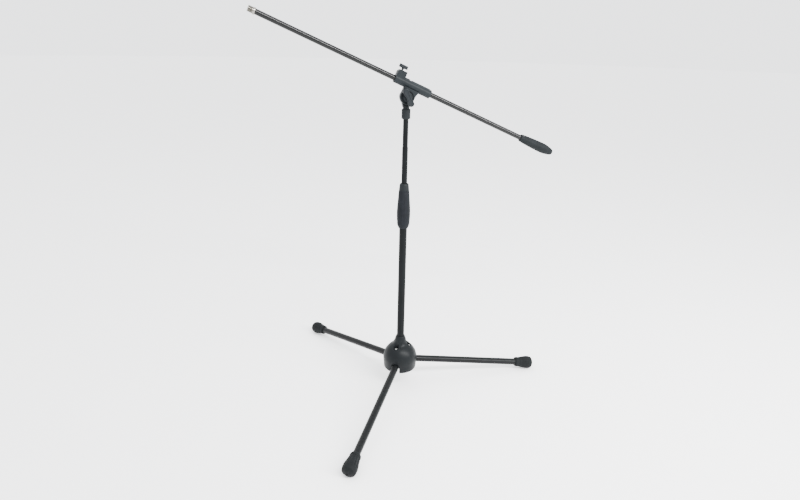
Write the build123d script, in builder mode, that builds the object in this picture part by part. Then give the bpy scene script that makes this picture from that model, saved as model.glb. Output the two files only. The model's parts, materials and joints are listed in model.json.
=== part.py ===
"""Boom microphone stand: folding tripod hub, telescopic mast, tilting boom clamp and weighted boom.

Frame: +Z up, origin on the floor under the mast. Leg 1 points along +X, the boom lies in the
XZ plane with its threaded end towards -X, and everything is in millimetres.
"""
import os
from math import cos, radians, sin, sqrt

from build123d import *

# Tubes: outer diameters and wall thicknesses
LOWER_TUBE_D = 22.6
UPPER_TUBE_D = 16.4
TOP_ROD_D = 14.8
BOOM_D = 14.2
LEG_D = 20.8
LOWER_WALL = 1.2
LEG_WALL = 1.2
UPPER_WALL = 1.0
BOOM_WALL = 1.0

# Fits: radial gap of a shaft that turns or slides, and of a part pressed or screwed in place
RUNNING = 0.08
SEATED = 0.03

# Legs
LEG_AZIMUTHS = (0, 120, 240)
LEG_SLOPE = 9.06
PIVOT_R = 30.0
FOOT_R = 20.5
FOOT_CONTACT = 416.0
FOOT_START = 369.0
FOOT_LENGTH = 64.0
PIVOT_Z = FOOT_R * cos(radians(LEG_SLOPE)) + FOOT_CONTACT * sin(radians(LEG_SLOPE))
PIN_R = 3.0
SLOT_HALF = 12.4
KNUCKLE_R = 12.0
KNUCKLE_LENGTH = 14.0

# Hub
HUB_R = 52.5
HUB_Z = 95.0
HUB_WALL = 3.0
RIM_R = 49.8
RIM_Z = 62.0
CARRIER_BOTTOM_Z = 70.0
CARRIER_TOP_Z = 128.0
CARRIER_R = 17.4
ROOF_Z = 98.3
ROOF_THICKNESS = 5.7
CHEEK_THICKNESS = 4.0
COLLAR_TOP_Z = 170.0
COLLAR_R = 13.7
SCREW_CIRCLE_R = 26.0
SCREW_LEAD = 12.0
SCREW_FLOOR_Z = 132.5

# Mast heights
TUBE_FLOOR_Z = 74.0
LOWER_TUBE_TOP_Z = 612.0
UPPER_TUBE_BOTTOM_Z = 130.0
SWAGE_Z = 752.0
TOP_ROD_TOP_Z = 838.0

# Clutch, from the bottom of its grip to the top of its nut
CLUTCH_BOTTOM_Z = 520.0
GRIP_TOP_Z = 632.0
CLUTCH_TOP_Z = 652.0
CLUTCH_MAX_R = 19.75
FERRULE_R = 13.2
CONE_BASE_Z = 616.0
CONE_TOP_Z = 642.0
CONE_BASE_R = 12.3
CONE_TOP_R = 9.8

# Swivel on top of the mast
SOCKET_BOTTOM_Z = 830.0
SOCKET_TOP_Z = 857.0
SOCKET_R = 12.1
STUD_R = 4.76
NECK_R = 8.8
PIVOT_TOP_Z = 888.0
BASE_EAR_R = 17.5
HOLDER_EAR_R = 20.0
EAR_GAP = 0.8
BASE_EAR_BACK = 12.0
HOLDER_EAR_FRONT = 12.5
BOLT_R = 4.0

# Boom, measured along its axis from the foot of the tilt pivot, positive towards the thread
BOOM_TILT = 23.6
BOOM_OFFSET = 31.3
SLEEVE_R = 11.5
SLEEVE_NEAR = -57.7
SLEEVE_FAR = 50.3
BLOCK_START = 25.2
BLOCK_HEIGHT = 26.0
BLOCK_HALF_WIDTH = 9.5
CLAMP_AXIS = 39.5
CLAMP_SCREW_R = 2.4
BOOM_TIP = 428.7
BOOM_TAIL = -452.0
ADAPTER_FLANGE_R = 8.9
ADAPTER_THREAD_R = 7.94
ADAPTER_THREAD_LENGTH = 13.6
BOOM_GRIP_START = -356.7
BOOM_GRIP_END = -471.5
BOOM_GRIP_R = 14.55

# Tilt knob
KNOB_ANGLE = 115.0
KNOB_BACK = 14.1
KNOB_FRONT = 31.0
KNOB_LENGTH = 52.0
KNOB_WIDTH = 17.5
INSERT_R = 5.8

os.makedirs("parts", exist_ok=True)


def finish(builder, name):
    """Label a finished piece and write it to its own STEP file."""
    builder.part.label = name
    export_step(builder.part, f"parts/{name}.step")


def ring(z_low, z_high, r_out, r_in):
    """Extrude a ring about the mast axis inside the current part."""
    with BuildSketch(Plane.XY.offset(z_low)) as section:
        Circle(r_out)
        if r_in > 0:
            Circle(r_in, mode=Mode.SUBTRACT)
    extrude(section.sketch, amount=z_high - z_low)


def bore(z_low, z_high, r):
    """Cut a round hole about the mast axis from the current part."""
    with BuildSketch(Plane.XY.offset(z_low)) as section:
        Circle(r)
    extrude(section.sketch, amount=z_high - z_low, mode=Mode.SUBTRACT)


def rims(builder, r_least):
    """Circular edges of the current part with at least a given radius."""
    circles = builder.edges().filter_by(GeomType.CIRCLE)
    return circles.filter_by(lambda edge: edge.radius >= r_least)


# ---------------------------------------------------------------- places on a leg


def outward(azimuth):
    """Unit vector away from the mast at an azimuth."""
    return Vector(cos(radians(azimuth)), sin(radians(azimuth)), 0)


def sideways(azimuth):
    """Unit vector along a leg's pivot pin."""
    return Vector(-sin(radians(azimuth)), cos(radians(azimuth)), 0)


def along_leg(azimuth):
    """Unit vector from a leg's pivot to its foot."""
    return outward(azimuth) * cos(radians(LEG_SLOPE)) - Vector(0, 0, sin(radians(LEG_SLOPE)))


def leg_pivot(azimuth):
    return outward(azimuth) * PIVOT_R + Vector(0, 0, PIVOT_Z)


def leg_side_plane(azimuth, offset=0.0):
    """Plane through the leg's axis: x along the leg, y upwards, z along the pivot pin."""
    origin = leg_pivot(azimuth) - sideways(azimuth) * offset
    return Plane(origin=origin, x_dir=along_leg(azimuth), z_dir=sideways(azimuth) * -1)


def leg_cross_plane(azimuth, distance):
    """Plane square to the leg at a distance from its pivot: x sideways, y upwards."""
    origin = leg_pivot(azimuth) + along_leg(azimuth) * distance
    return Plane(origin=origin, x_dir=sideways(azimuth), z_dir=along_leg(azimuth))


# ---------------------------------------------------------------- legs


def make_leg(number, azimuth):
    """One leg: a nylon knuckle on a pin, a steel tube and a rubber foot."""
    tube_r = LEG_D / 2
    spigot_r = tube_r - LEG_WALL - SEATED

    with BuildPart() as knuckle:
        with BuildSketch(leg_side_plane(azimuth)):
            Circle(KNUCKLE_R - 0.4)
        extrude(amount=SLOT_HALF - 0.4, both=True)
        with BuildSketch(leg_cross_plane(azimuth, 0)):
            Circle(KNUCKLE_R)
        extrude(amount=KNUCKLE_LENGTH)
        with BuildSketch(leg_cross_plane(azimuth, KNUCKLE_LENGTH)):
            Circle(spigot_r)
        extrude(amount=26)
        with BuildSketch(leg_side_plane(azimuth)):
            Circle(PIN_R + RUNNING)
        extrude(amount=SLOT_HALF + 1, both=True, mode=Mode.SUBTRACT)
    finish(knuckle, f"leg_{number}_knuckle")

    with BuildPart() as tube:
        with BuildSketch(leg_cross_plane(azimuth, KNUCKLE_LENGTH)):
            Circle(tube_r)
            Circle(tube_r - LEG_WALL, mode=Mode.SUBTRACT)
        extrude(amount=FOOT_CONTACT - 8 - KNUCKLE_LENGTH)
    finish(tube, f"leg_{number}_tube")

    with BuildPart() as foot:
        make_foot_profile(azimuth)
        with BuildSketch(leg_cross_plane(azimuth, FOOT_START - 1)):
            Circle(tube_r + SEATED)
        extrude(amount=FOOT_CONTACT - 7.9 - FOOT_START + 1, mode=Mode.SUBTRACT)
    finish(foot, f"leg_{number}_foot")

    with BuildPart() as pin:
        with BuildSketch(leg_side_plane(azimuth)):
            Circle(PIN_R)
        extrude(amount=SLOT_HALF + CHEEK_THICKNESS + 0.8, both=True)
        with BuildSketch(leg_side_plane(azimuth, SLOT_HALF + CHEEK_THICKNESS + 0.1)):
            Circle(PIN_R + 1.6)
        extrude(amount=1.6)
        fillet(rims(pin, PIN_R + 1.5), 0.6)
    finish(pin, f"leg_{number}_pin")


def make_foot_profile(azimuth):
    """Revolve the rubber foot: a collar, a neck groove, a flared cone and a domed end."""
    start = FOOT_START
    end = FOOT_START + FOOT_LENGTH
    with BuildSketch(leg_side_plane(azimuth)) as profile:
        with BuildLine():
            Polyline(
                (start, 0),
                (start, 12.4),
                (start + 1.6, 14.0),
                (start + 4.0, 15.4),
                (start + 10.5, 15.6),
                (start + 11.5, 14.6),
                (start + 14.0, 14.8),
                (start + 15.0, 16.0),
                (FOOT_CONTACT - 6, FOOT_R - 0.6),
            )
            ThreePointArc(
                (FOOT_CONTACT - 6, FOOT_R - 0.6),
                (FOOT_CONTACT - 3, FOOT_R - 0.1),
                (FOOT_CONTACT, FOOT_R),
            )
            ThreePointArc((FOOT_CONTACT, FOOT_R), (end - 7, FOOT_R - 3.2), (end - 2.5, 12.0))
            ThreePointArc((end - 2.5, 12.0), (end - 0.7, 8.2), (end, 4.0))
            Line((end, 4.0), (end, 0))
            Line((end, 0), (start, 0))
        make_face()
    revolve(profile.sketch, axis=Axis(leg_pivot(azimuth), along_leg(azimuth)))


# ---------------------------------------------------------------- hub


def screw_places(z):
    """Places of the three hub screws, beside each leg, at a height."""
    return [outward(azimuth - SCREW_LEAD) * SCREW_CIRCLE_R + Vector(0, 0, z) for azimuth in LEG_AZIMUTHS]


def sphere_height(radius, at):
    """Height of a sphere about the hub's centre at a distance from the mast."""
    return HUB_Z + sqrt(radius**2 - at**2)


def make_hub_dome():
    """Moulded cover: mast collar, dome and skirt, open below, with an arch over each leg."""
    inner_r = HUB_R - HUB_WALL
    shoulder_r = 25.0
    waist = (19.6, 149.5)
    tube_r = LOWER_TUBE_D / 2 + SEATED
    with BuildPart() as dome:
        with BuildSketch(Plane.XZ) as outside:
            with BuildLine():
                Polyline(
                    (0, RIM_Z),
                    (0, COLLAR_TOP_Z),
                    (COLLAR_R - 0.5, COLLAR_TOP_Z),
                    (COLLAR_R, COLLAR_TOP_Z - 0.6),
                    (17.5, 158.8),
                )
                ThreePointArc((17.5, 158.8), waist, (shoulder_r, sphere_height(HUB_R, shoulder_r)))
                ThreePointArc(
                    (shoulder_r, sphere_height(HUB_R, shoulder_r)),
                    (HUB_R * cos(radians(28)), HUB_Z + HUB_R * sin(radians(28))),
                    (HUB_R, HUB_Z),
                )
                Line((HUB_R, HUB_Z), (RIM_R + 0.4, RIM_Z + 6.0))
                ThreePointArc(
                    (RIM_R + 0.4, RIM_Z + 6.0),
                    (RIM_R - 0.5, RIM_Z + 2.4),
                    (RIM_R - 2.5, RIM_Z),
                )
                Line((RIM_R - 2.5, RIM_Z), (0, RIM_Z))
            make_face()
        revolve(axis=Axis.Z)
        with BuildSketch(Plane.XZ):
            with BuildLine():
                Polyline(
                    (0, RIM_Z),
                    (0, CARRIER_TOP_Z + 0.2),
                    (CARRIER_R + 0.4, CARRIER_TOP_Z + 0.2),
                    (CARRIER_R + 0.4, sphere_height(inner_r, CARRIER_R + 0.4)),
                )
                ThreePointArc(
                    (CARRIER_R + 0.4, sphere_height(inner_r, CARRIER_R + 0.4)),
                    (inner_r * cos(radians(32)), HUB_Z + inner_r * sin(radians(32))),
                    (inner_r, HUB_Z),
                )
                Polyline((inner_r, HUB_Z), (RIM_R - HUB_WALL, RIM_Z), (0, RIM_Z))
            make_face()
        revolve(axis=Axis.Z, mode=Mode.SUBTRACT)
        with BuildSketch(Plane.XY.offset(CARRIER_TOP_Z)):
            with Locations(*[(p.X, p.Y) for p in screw_places(0)]):
                Circle(10.4)
        extrude(amount=30)
        revolve(outside.sketch, axis=Axis.Z, mode=Mode.INTERSECT)
        with BuildSketch(Plane.XY.offset(SCREW_FLOOR_Z)):
            with Locations(*[(p.X, p.Y) for p in screw_places(0)]):
                Circle(8.2)
        extrude(amount=30, mode=Mode.SUBTRACT)
        with BuildSketch(Plane.XY.offset(CARRIER_TOP_Z - 1)):
            with Locations(*[(p.X, p.Y) for p in screw_places(0)]):
                Circle(2.2)
        extrude(amount=6, mode=Mode.SUBTRACT)
        bore(CARRIER_TOP_Z - 1, COLLAR_TOP_Z + 1, tube_r)
        for azimuth in LEG_AZIMUTHS:
            with BuildSketch(leg_cross_plane(azimuth, 8)):
                Circle(SLOT_HALF)
                with Locations((0, -20)):
                    Rectangle(2 * SLOT_HALF, 40)
            extrude(amount=32, mode=Mode.SUBTRACT)
    finish(dome, "hub_dome")


def make_hub_carrier():
    """Cast carrier under the dome: mast socket, roof plate, and two cheeks for each leg."""
    with BuildPart() as carrier:
        ring(CARRIER_BOTTOM_Z, CARRIER_TOP_Z, CARRIER_R, 0)
        ring(ROOF_Z, ROOF_Z + ROOF_THICKNESS, 42.0, 0)
        for azimuth in LEG_AZIMUTHS:
            for side in (1, -1):
                cheek_middle = sideways(azimuth) * side * (SLOT_HALF + CHEEK_THICKNESS / 2)
                cheek_plane = Plane(
                    origin=cheek_middle,
                    x_dir=outward(azimuth),
                    z_dir=sideways(azimuth) * -1,
                )
                with BuildSketch(cheek_plane):
                    with BuildLine():
                        Polyline(
                            (8, CARRIER_BOTTOM_Z),
                            (8, ROOF_Z + 1),
                            (39, ROOF_Z + 1),
                            (39, CARRIER_BOTTOM_Z + 8),
                            (33, CARRIER_BOTTOM_Z),
                            (8, CARRIER_BOTTOM_Z),
                        )
                    make_face()
                extrude(amount=CHEEK_THICKNESS / 2, both=True)
        with BuildSketch(Plane.XY.offset(ROOF_Z)):
            with Locations(*[(p.X, p.Y) for p in screw_places(0)]):
                Circle(5.0)
        extrude(amount=CARRIER_TOP_Z - 0.3 - ROOF_Z)
        with BuildSketch(Plane.XY.offset(ROOF_Z + ROOF_THICKNESS)):
            with Locations(*[(p.X, p.Y) for p in screw_places(0)]):
                Circle(2.0 + SEATED)
        extrude(amount=40, mode=Mode.SUBTRACT)
        for azimuth in LEG_AZIMUTHS:
            with BuildSketch(leg_side_plane(azimuth)):
                Circle(PIN_R + SEATED)
            extrude(amount=SLOT_HALF + CHEEK_THICKNESS + 1, both=True, mode=Mode.SUBTRACT)
        bore(TUBE_FLOOR_Z, CARRIER_TOP_Z + 1, LOWER_TUBE_D / 2 + SEATED)
        bore(CARRIER_BOTTOM_Z - 1, TUBE_FLOOR_Z + 1, 4.3)
    finish(carrier, "hub_carrier")


def make_hub_screws():
    """Three pan-head screws that hold the dome to the carrier."""
    with BuildPart() as screws:
        with BuildSketch(Plane.XY.offset(SCREW_FLOOR_Z)):
            with Locations(*[(p.X, p.Y) for p in screw_places(0)]):
                Circle(4.0)
        extrude(amount=2.6)
        fillet(screws.edges().group_by(Axis.Z)[-1], 1.0)
        with BuildSketch(Plane.XY.offset(SCREW_FLOOR_Z + 1.2)):
            with Locations(*[(p.X, p.Y) for p in screw_places(0)]):
                Rectangle(4.4, 1.0)
                Rectangle(1.0, 4.4)
        extrude(amount=3, mode=Mode.SUBTRACT)
        with BuildSketch(Plane.XY.offset(SCREW_FLOOR_Z)):
            with Locations(*[(p.X, p.Y) for p in screw_places(0)]):
                Circle(2.0)
        extrude(amount=-22)
    finish(screws, "hub_screws")


def make_base_fastening():
    """Bolt, washer and plug that hold the lower tube down into the carrier."""
    with BuildPart() as plug:
        ring(TUBE_FLOOR_Z, TUBE_FLOOR_Z + 18, LOWER_TUBE_D / 2 - LOWER_WALL - SEATED, 4.0 + SEATED)
        chamfer(rims(plug, 5), 1.0)
    finish(plug, "tube_plug")

    with BuildPart() as washer:
        ring(CARRIER_BOTTOM_Z - 1.6, CARRIER_BOTTOM_Z, 9.0, 4.3)
    finish(washer, "base_washer")

    with BuildPart() as bolt:
        with BuildSketch(Plane.XY.offset(CARRIER_BOTTOM_Z - 1.6 - 5.3)):
            RegularPolygon(7.5, 6)
        extrude(amount=5.3)
        chamfer(bolt.edges().group_by(Axis.Z)[0], 0.6)
        ring(CARRIER_BOTTOM_Z - 1.7, TUBE_FLOOR_Z + 16, 4.0, 0)
    finish(bolt, "base_bolt")


# ---------------------------------------------------------------- mast


def make_mast():
    """Lower tube, the guide that slides in it, the upper tube and the thin top rod."""
    inner_r = LOWER_TUBE_D / 2 - LOWER_WALL
    with BuildPart() as lower:
        ring(TUBE_FLOOR_Z, LOWER_TUBE_TOP_Z, LOWER_TUBE_D / 2, inner_r)
    finish(lower, "lower_tube")

    upper_r = UPPER_TUBE_D / 2
    rod_r = TOP_ROD_D / 2
    bead_r = upper_r + 0.7
    guide_low = UPPER_TUBE_BOTTOM_Z + 3.3
    guide_high = guide_low + 18
    with BuildPart() as guide:
        ring(guide_low, guide_high, inner_r - RUNNING, upper_r + RUNNING)
        chamfer(rims(guide, upper_r + 1), 0.5)
    finish(guide, "tube_guide")

    with BuildPart() as upper:
        with BuildSketch(Plane.XZ):
            with BuildLine():
                Polyline(
                    (upper_r - UPPER_WALL, UPPER_TUBE_BOTTOM_Z),
                    (bead_r, UPPER_TUBE_BOTTOM_Z),
                    (bead_r, guide_low - 0.3),
                    (upper_r, guide_low - 0.3),
                    (upper_r, guide_high + 0.3),
                    (bead_r, guide_high + 1.0),
                    (bead_r, guide_high + 2.0),
                    (upper_r, guide_high + 2.7),
                    (upper_r, SWAGE_Z - 1.5),
                    (rod_r + 0.45, SWAGE_Z + 2.0),
                    (rod_r + SEATED, SWAGE_Z + 2.0),
                    (rod_r + SEATED, SWAGE_Z - 34),
                    (upper_r - UPPER_WALL, SWAGE_Z - 35),
                    (upper_r - UPPER_WALL, UPPER_TUBE_BOTTOM_Z),
                )
            make_face()
        revolve(axis=Axis.Z)
    finish(upper, "upper_tube")

    with BuildPart() as rod:
        ring(SWAGE_Z - 33, TOP_ROD_TOP_Z, rod_r, rod_r - 1.5)
    finish(rod, "top_rod")

    with BuildPart() as stud:
        ring(TOP_ROD_TOP_Z - 24, TOP_ROD_TOP_Z, rod_r - 1.5 - SEATED, 0)
        ring(TOP_ROD_TOP_Z, SOCKET_TOP_Z - 2, STUD_R, 0)
        chamfer(stud.edges().group_by(Axis.Z)[-1], 0.8)
    finish(stud, "top_stud")


# ---------------------------------------------------------------- clutch


def make_clutch():
    """Height clutch: fixed ferrule and slit collet, and a grip nut with a rubber sleeve."""
    upper_r = UPPER_TUBE_D / 2
    lower_r = LOWER_TUBE_D / 2
    with BuildPart() as ferrule:
        ring(560, 600, FERRULE_R, lower_r + SEATED)
        chamfer(rims(ferrule, FERRULE_R - 0.1), 0.6)
    finish(ferrule, "clutch_ferrule")

    slit_bottom = CONE_BASE_Z + 3
    with BuildPart() as collet:
        with BuildSketch(Plane.XZ):
            with BuildLine():
                Polyline(
                    (upper_r + RUNNING, LOWER_TUBE_TOP_Z - 26),
                    (lower_r - LOWER_WALL - SEATED, LOWER_TUBE_TOP_Z - 26),
                    (lower_r - LOWER_WALL - SEATED, LOWER_TUBE_TOP_Z),
                    (CONE_BASE_R, LOWER_TUBE_TOP_Z),
                    (CONE_BASE_R, CONE_BASE_Z),
                    (CONE_TOP_R, CONE_TOP_Z),
                    (upper_r + RUNNING, CONE_TOP_Z),
                    (upper_r + RUNNING, LOWER_TUBE_TOP_Z - 26),
                )
            make_face()
        revolve(axis=Axis.Z)
        with BuildSketch(Plane.XY.offset(slit_bottom)):
            Rectangle(2 * CONE_BASE_R, 1.6)
            Rectangle(1.6, 2 * CONE_BASE_R)
        extrude(amount=CONE_TOP_Z - slit_bottom + 1, mode=Mode.SUBTRACT)
    finish(collet, "clutch_collet")

    sleeve = [(14.4, CLUTCH_BOTTOM_Z + 5), (17.4, 546), (17.6, 570), (14.2, GRIP_TOP_Z - 1)]
    cone_gap = 0.5
    with BuildPart() as nut:
        with BuildSketch(Plane.XZ):
            with BuildLine():
                Polyline(
                    (lower_r + 0.4, CLUTCH_BOTTOM_Z + 5),
                    *sleeve,
                    (14.2, GRIP_TOP_Z),
                    (14.7, GRIP_TOP_Z + 0.6),
                    (13.0, CLUTCH_TOP_Z - 4),
                    (11.6, CLUTCH_TOP_Z - 1),
                    (10.4, CLUTCH_TOP_Z),
                    (upper_r + 0.4, CLUTCH_TOP_Z),
                    (upper_r + 0.4, CONE_TOP_Z + 1),
                    (CONE_TOP_R + cone_gap, CONE_TOP_Z + 1),
                    (CONE_BASE_R + cone_gap, CONE_BASE_Z + 0.5),
                    (CONE_BASE_R + cone_gap, 603),
                    (FERRULE_R + RUNNING, 602),
                    (FERRULE_R + RUNNING, 556),
                    (lower_r + 0.4, 555),
                    (lower_r + 0.4, CLUTCH_BOTTOM_Z + 5),
                )
            make_face()
        revolve(axis=Axis.Z)
    finish(nut, "clutch_nut")

    skin = [(r + SEATED, z) for r, z in reversed(sleeve)]
    with BuildPart() as grip:
        with BuildSketch(Plane.XZ):
            with BuildLine():
                Line((lower_r + 0.4, CLUTCH_BOTTOM_Z), (13.0, CLUTCH_BOTTOM_Z + 0.4))
                ThreePointArc((13.0, CLUTCH_BOTTOM_Z + 0.4), (16.6, 527.5), (18.4, 538))
                ThreePointArc((18.4, 538), (CLUTCH_MAX_R, 563), (18.2, 592))
                Line((18.2, 592), (14.95, GRIP_TOP_Z - 0.1))
                Polyline(
                    (14.95, GRIP_TOP_Z - 0.1),
                    (14.2 + SEATED, GRIP_TOP_Z - 0.1),
                    *skin,
                    (14.4 + SEATED, CLUTCH_BOTTOM_Z + 4.9),
                    (lower_r + 0.4, CLUTCH_BOTTOM_Z + 4.9),
                    (lower_r + 0.4, CLUTCH_BOTTOM_Z),
                )
            make_face()
        revolve(axis=Axis.Z)
    finish(grip, "clutch_grip")


# ---------------------------------------------------------------- swivel


def tilt_plane(y):
    """Upright plane square to the tilt bolt, seen from the knob: x to the right, y up."""
    return Plane(origin=(0, y, PIVOT_TOP_Z), x_dir=(1, 0, 0), z_dir=(0, -1, 0))


def make_swivel_base():
    """Socket that screws on the mast, with the fixed ear of the tilt joint."""
    drop = SOCKET_TOP_Z + 3 - PIVOT_TOP_Z
    with BuildPart() as base:
        ring(SOCKET_BOTTOM_Z, SOCKET_TOP_Z, SOCKET_R, 0)
        chamfer(base.edges().filter_by(GeomType.CIRCLE), 1.8)
        ring(SOCKET_TOP_Z - 1, PIVOT_TOP_Z - HOLDER_EAR_R - 1.5, NECK_R, 0)
        with BuildSketch(tilt_plane(EAR_GAP)):
            Circle(BASE_EAR_R)
            with BuildLine():
                Polyline(
                    (3.5 - BASE_EAR_R, -6),
                    (BASE_EAR_R - 3.5, -6),
                    (NECK_R - 1, drop),
                    (1 - NECK_R, drop),
                    (3.5 - BASE_EAR_R, -6),
                )
            make_face()
        extrude(amount=EAR_GAP - BASE_EAR_BACK)
        chamfer(base.faces().sort_by(Axis.Y)[-1].edges(), 0.8)
        bore(SOCKET_BOTTOM_Z - 1, TOP_ROD_TOP_Z + 0.5, TOP_ROD_D / 2 + 0.1)
        bore(TOP_ROD_TOP_Z, SOCKET_TOP_Z - 1.5, 8.4 + SEATED)
        with BuildSketch(tilt_plane(EAR_GAP + 1)):
            Circle(BOLT_R + SEATED)
        extrude(amount=-BASE_EAR_BACK - 3, mode=Mode.SUBTRACT)
        with BuildSketch(tilt_plane(EAR_GAP - 3)):
            Circle(BOLT_R + SEATED)
        extrude(amount=-10, mode=Mode.SUBTRACT)
    finish(base, "swivel_base")

    with BuildPart() as insert:
        ring(TOP_ROD_TOP_Z + 0.6, SOCKET_TOP_Z - 1.7, 8.4, STUD_R + SEATED)
    finish(insert, "thread_insert")

    with BuildPart() as washer:
        with BuildSketch(tilt_plane(EAR_GAP - 0.05)):
            Circle(15.0)
            Circle(BOLT_R + 0.2, mode=Mode.SUBTRACT)
        extrude(amount=2 * EAR_GAP - 0.15)
    finish(washer, "friction_washer")

    with BuildPart() as bolt:
        with BuildSketch(tilt_plane(BASE_EAR_BACK + 5.3)):
            RegularPolygon(7.5, 6)
        extrude(amount=5.3)
        chamfer(bolt.edges().group_by(Axis.Y)[-1], 0.6)
        with BuildSketch(tilt_plane(BASE_EAR_BACK + 0.1)):
            Circle(BOLT_R)
        extrude(amount=BASE_EAR_BACK + 27.0)
        chamfer(bolt.edges().group_by(Axis.Y)[0], 0.8)
    finish(bolt, "tilt_bolt")


def make_tilt_knob():
    """Wing knob with a brass insert, and the washer it presses on."""
    with BuildPart() as washer:
        with BuildSketch(tilt_plane(-HOLDER_EAR_FRONT - 0.1)):
            Circle(10.0)
            Circle(BOLT_R + RUNNING, mode=Mode.SUBTRACT)
        extrude(amount=1.4)
    finish(washer, "knob_washer")

    turned = radians(KNOB_ANGLE)
    knob_plane = Plane(
        origin=(0, -KNOB_BACK, PIVOT_TOP_Z),
        x_dir=(cos(turned), 0, sin(turned)),
        z_dir=(0, -1, 0),
    )
    waist_r = 70.0
    with BuildPart() as knob:
        with BuildSketch(knob_plane):
            Circle(12.5)
        extrude(amount=7)
        with BuildSketch(knob_plane.offset(2.5)):
            SlotOverall(KNOB_LENGTH, KNOB_WIDTH)
            with Locations((0, waist_r + KNOB_WIDTH / 2 - 1.8), (0, -waist_r - KNOB_WIDTH / 2 + 1.8)):
                Circle(waist_r, mode=Mode.SUBTRACT)
        extrude(amount=KNOB_FRONT - KNOB_BACK - 2.5, taper=4)
        fillet(knob.faces().sort_by(Axis.Y)[0].edges(), 2.2)
        with BuildSketch(knob_plane):
            Circle(INSERT_R + SEATED)
        extrude(amount=13.1, mode=Mode.SUBTRACT)
    finish(knob, "tilt_knob")

    with BuildPart() as insert:
        with BuildSketch(knob_plane):
            Circle(INSERT_R)
            Circle(BOLT_R + RUNNING, mode=Mode.SUBTRACT)
        extrude(amount=13.0)
    finish(insert, "knob_insert")


# ---------------------------------------------------------------- boom


BOOM_DIR = Vector(-cos(radians(BOOM_TILT)), 0, sin(radians(BOOM_TILT)))
BOOM_UP = Vector(sin(radians(BOOM_TILT)), 0, cos(radians(BOOM_TILT)))
TILT_PIVOT = Vector(0, 0, PIVOT_TOP_Z)
BOOM_AXIS_POINT = TILT_PIVOT + BOOM_UP * BOOM_OFFSET


def boom_side_plane(y=0.0):
    """Plane along the boom: x towards the thread, y away from the pivot, z along +Y."""
    return Plane(origin=TILT_PIVOT + Vector(0, y, 0), x_dir=BOOM_DIR, z_dir=(0, 1, 0))


def boom_cross_plane(distance):
    """Plane square to the boom at a distance along it, facing the thread."""
    return Plane(origin=BOOM_AXIS_POINT + BOOM_DIR * distance, x_dir=(0, 1, 0), z_dir=BOOM_DIR)


def clamp_plane(height):
    """Plane square to the clamp screw at a height over the pivot, facing away from the boom."""
    origin = TILT_PIVOT + BOOM_DIR * CLAMP_AXIS + BOOM_UP * height
    return Plane(origin=origin, x_dir=BOOM_DIR, z_dir=BOOM_UP)


def make_boom_holder():
    """Sleeve for the boom, with the clamp block on top and the tilting ear below."""
    block_top = BOOM_OFFSET + BLOCK_HEIGHT
    with BuildPart() as holder:
        with BuildSketch(boom_cross_plane(SLEEVE_NEAR)):
            Circle(SLEEVE_R)
        extrude(amount=SLEEVE_FAR - SLEEVE_NEAR)
        chamfer(holder.edges().filter_by(GeomType.CIRCLE), 1.2)
        with BuildSketch(boom_side_plane()):
            with BuildLine():
                Polyline(
                    (BLOCK_START, BOOM_OFFSET),
                    (BLOCK_START, block_top),
                    (SLEEVE_FAR - 5, block_top),
                    (SLEEVE_FAR, block_top - 6),
                    (SLEEVE_FAR, BOOM_OFFSET),
                    (BLOCK_START, BOOM_OFFSET),
                )
            make_face()
        extrude(amount=BLOCK_HALF_WIDTH, both=True)
        fillet(holder.faces().sort_by(Axis(TILT_PIVOT, BOOM_UP))[-1].edges(), 1.0)
        with BuildSketch(boom_side_plane()):
            with BuildLine():
                Polyline(
                    (SLEEVE_NEAR + 4, BOOM_OFFSET + 9),
                    (SLEEVE_NEAR + 7, BOOM_OFFSET + SLEEVE_R + 1.2),
                    (3, BOOM_OFFSET + SLEEVE_R + 1.2),
                    (5, BOOM_OFFSET + SLEEVE_R),
                    (9, BOOM_OFFSET + SLEEVE_R),
                    (11, BOOM_OFFSET + SLEEVE_R + 1.8),
                    (BLOCK_START + 1, BOOM_OFFSET + SLEEVE_R + 1.8),
                    (BLOCK_START + 1, BOOM_OFFSET + 9),
                    (SLEEVE_NEAR + 4, BOOM_OFFSET + 9),
                )
            make_face()
        extrude(amount=2.2, both=True)
        with BuildSketch(boom_side_plane(-EAR_GAP)):
            Circle(HOLDER_EAR_R)
            with BuildLine():
                Line((HOLDER_EAR_R, 0), (HOLDER_EAR_R - 1, BOOM_OFFSET - 8))
                Line((HOLDER_EAR_R - 1, BOOM_OFFSET - 8), (-25.5, BOOM_OFFSET - 8))
                ThreePointArc((-25.5, BOOM_OFFSET - 8), (-20.8, 12), (-HOLDER_EAR_R, 0))
                Line((-HOLDER_EAR_R, 0), (HOLDER_EAR_R, 0))
            make_face()
        extrude(amount=EAR_GAP - HOLDER_EAR_FRONT)
        fillet(holder.faces().sort_by(Axis.Y)[0].edges(), 1.2)
        with BuildSketch(boom_side_plane(-HOLDER_EAR_FRONT)):
            Circle(HOLDER_EAR_R - 3.2)
            Circle(HOLDER_EAR_R - 7.2, mode=Mode.SUBTRACT)
        extrude(amount=3.0, mode=Mode.SUBTRACT)
        with BuildSketch(boom_cross_plane(SLEEVE_NEAR - 1)):
            Circle(BOOM_D / 2 + RUNNING)
        extrude(amount=SLEEVE_FAR - SLEEVE_NEAR + 2, mode=Mode.SUBTRACT)
        with BuildSketch(boom_side_plane(0)):
            Circle(BOLT_R + RUNNING)
        extrude(amount=-HOLDER_EAR_FRONT - 1, mode=Mode.SUBTRACT)
        with BuildSketch(clamp_plane(BOOM_OFFSET)):
            Circle(4.0)
        extrude(amount=13.5, mode=Mode.SUBTRACT)
        with BuildSketch(clamp_plane(BOOM_OFFSET)):
            Circle(CLAMP_SCREW_R + RUNNING)
        extrude(amount=BLOCK_HEIGHT + 2, mode=Mode.SUBTRACT)
    finish(holder, "boom_holder")


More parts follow.
